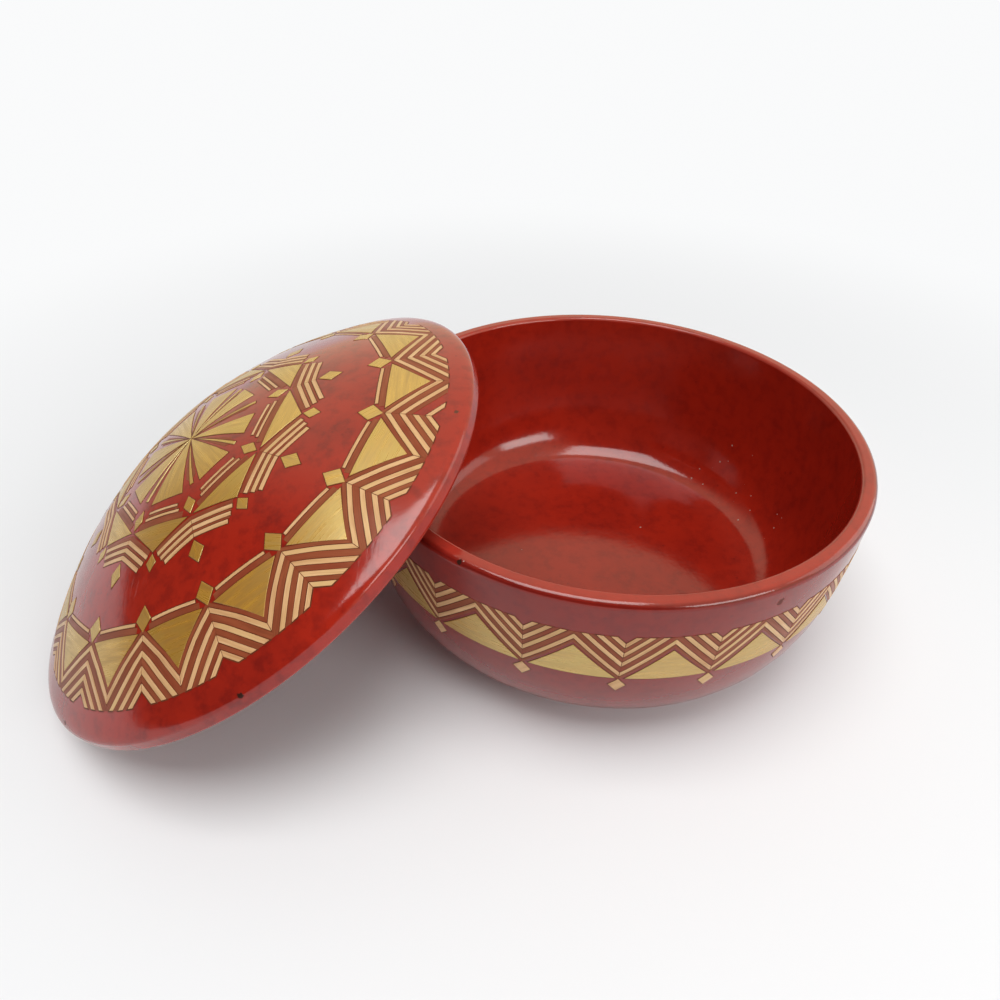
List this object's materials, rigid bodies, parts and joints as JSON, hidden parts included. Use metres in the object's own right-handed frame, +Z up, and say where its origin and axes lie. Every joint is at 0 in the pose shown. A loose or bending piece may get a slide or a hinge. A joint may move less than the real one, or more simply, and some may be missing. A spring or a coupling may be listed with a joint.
{
  "type": "lidded trinket bowl",
  "caption": "Turned wooden trinket bowl with a loose domed lid leaning on it, red lacquer laid with bands of cut straw.",
  "frame": {"origin": "middle of the bowl's flat foot, on the table", "axes": "+Z up along the bowl's axis; the lid leans on the bowl's -X side"},
  "size_m": [0.2129, 0.1465, 0.0743],
  "materials": {
    "red_lacquer": "gloss red lacquer over turned wood",
    "gold_straw": "flattened straw under clear lacquer",
    "pale_straw": "light and dark straw strips under clear lacquer"
  },
  "bodies": {
    "bowl": {"bowl": "red_lacquer", "bowl_fans": "pale_straw", "bowl_triangle_1": "gold_straw", "bowl_triangle_2": "gold_straw", "bowl_triangle_3": "gold_straw", "bowl_triangle_4": "gold_straw", "bowl_triangle_5": "gold_straw", "bowl_triangle_6": "gold_straw", "bowl_triangle_7": "gold_straw", "bowl_triangle_8": "gold_straw", "bowl_triangle_9": "gold_straw", "bowl_triangle_10": "gold_straw", "bowl_triangle_11": "gold_straw", "bowl_triangle_12": "gold_straw", "bowl_triangle_13": "gold_straw", "bowl_triangle_14": "gold_straw", "bowl_triangle_15": "gold_straw", "bowl_triangle_16": "gold_straw", "bowl_triangle_17": "gold_straw", "bowl_triangle_18": "gold_straw", "bowl_triangle_19": "gold_straw", "bowl_triangle_20": "gold_straw"},
    "lid": {"lid": "red_lacquer", "lid_rosette": "gold_straw", "lid_inner_triangle_1": "gold_straw", "lid_inner_triangle_2": "gold_straw", "lid_inner_triangle_3": "gold_straw", "lid_inner_triangle_4": "gold_straw", "lid_inner_triangle_5": "gold_straw", "lid_inner_triangle_6": "gold_straw", "lid_inner_triangle_7": "gold_straw", "lid_inner_triangle_8": "gold_straw", "lid_inner_fan_1": "pale_straw", "lid_inner_fan_2": "pale_straw", "lid_inner_fan_3": "pale_straw", "lid_inner_fan_4": "pale_straw", "lid_inner_fan_5": "pale_straw", "lid_inner_fan_6": "pale_straw", "lid_inner_fan_7": "pale_straw", "lid_inner_fan_8": "pale_straw", "lid_outer_triangle_1": "gold_straw", "lid_outer_triangle_2": "gold_straw", "lid_outer_triangle_3": "gold_straw", "lid_outer_triangle_4": "gold_straw", "lid_outer_triangle_5": "gold_straw", "lid_outer_triangle_6": "gold_straw", "lid_outer_triangle_7": "gold_straw", "lid_outer_triangle_8": "gold_straw", "lid_outer_triangle_9": "gold_straw", "lid_outer_triangle_10": "gold_straw", "lid_outer_triangle_11": "gold_straw", "lid_outer_triangle_12": "gold_straw", "lid_outer_triangle_13": "gold_straw", "lid_outer_triangle_14": "gold_straw", "lid_outer_triangle_15": "gold_straw", "lid_outer_triangle_16": "gold_straw", "lid_outer_fans": "pale_straw"}
  },
  "joints": [
    {"name": "lid_lift", "type": "slide", "parent": "bowl", "child": "lid", "axis": [0, 0, 1], "range_m": [0, 0.08]}
  ]
}
